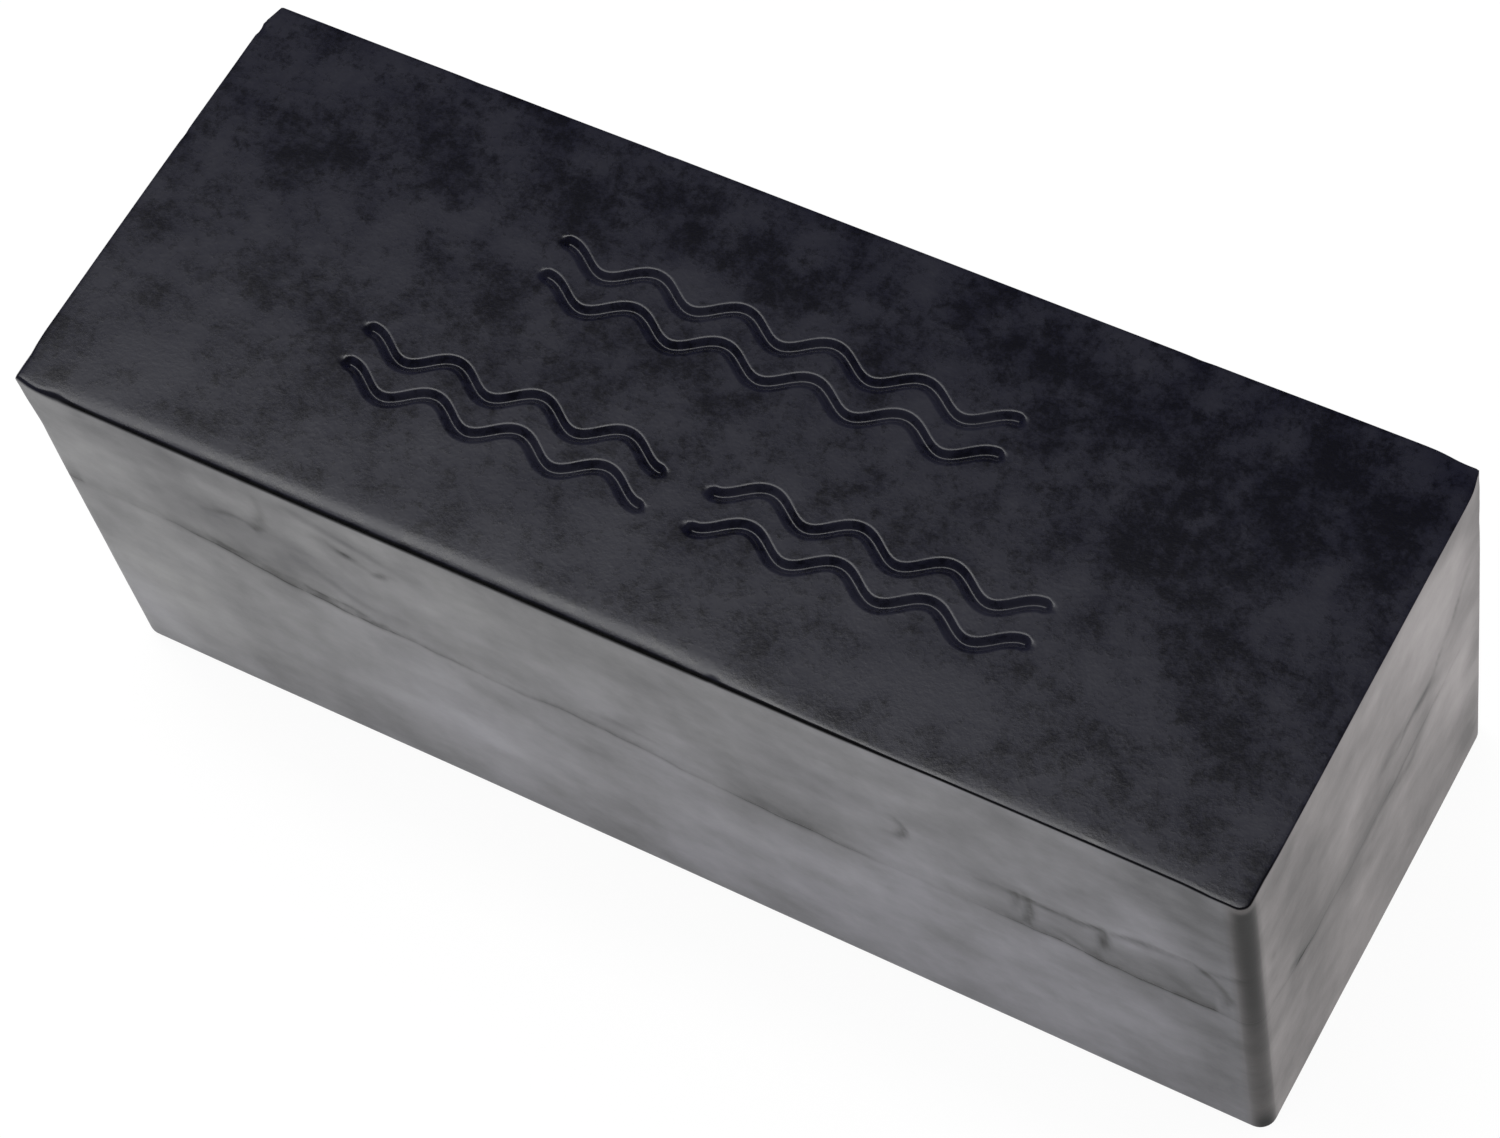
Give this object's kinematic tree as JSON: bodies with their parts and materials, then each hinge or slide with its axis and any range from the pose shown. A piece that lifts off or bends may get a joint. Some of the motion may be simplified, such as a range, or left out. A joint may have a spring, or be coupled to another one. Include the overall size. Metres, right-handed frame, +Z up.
{
  "type": "diving brick",
  "caption": "Black moulded rubber block weighted with a sealed steel bar, sunk to a pool floor and fetched by hand in lifesaving practice.",
  "frame": {"origin": "middle of the foot, the flat face that the brick rests on", "axes": "+X along the brick's length, +Y across it, +Z up towards the face that was against the mould's lid"},
  "size_m": [0.2222, 0.0826, 0.0825],
  "materials": {
    "black_rubber": "satin",
    "mill_steel": "matte"
  },
  "bodies": {
    "root": {"rubber_lower_half": "black_rubber", "rubber_upper_half": "black_rubber", "steel_bar": "mill_steel"}
  },
  "joints": []
}
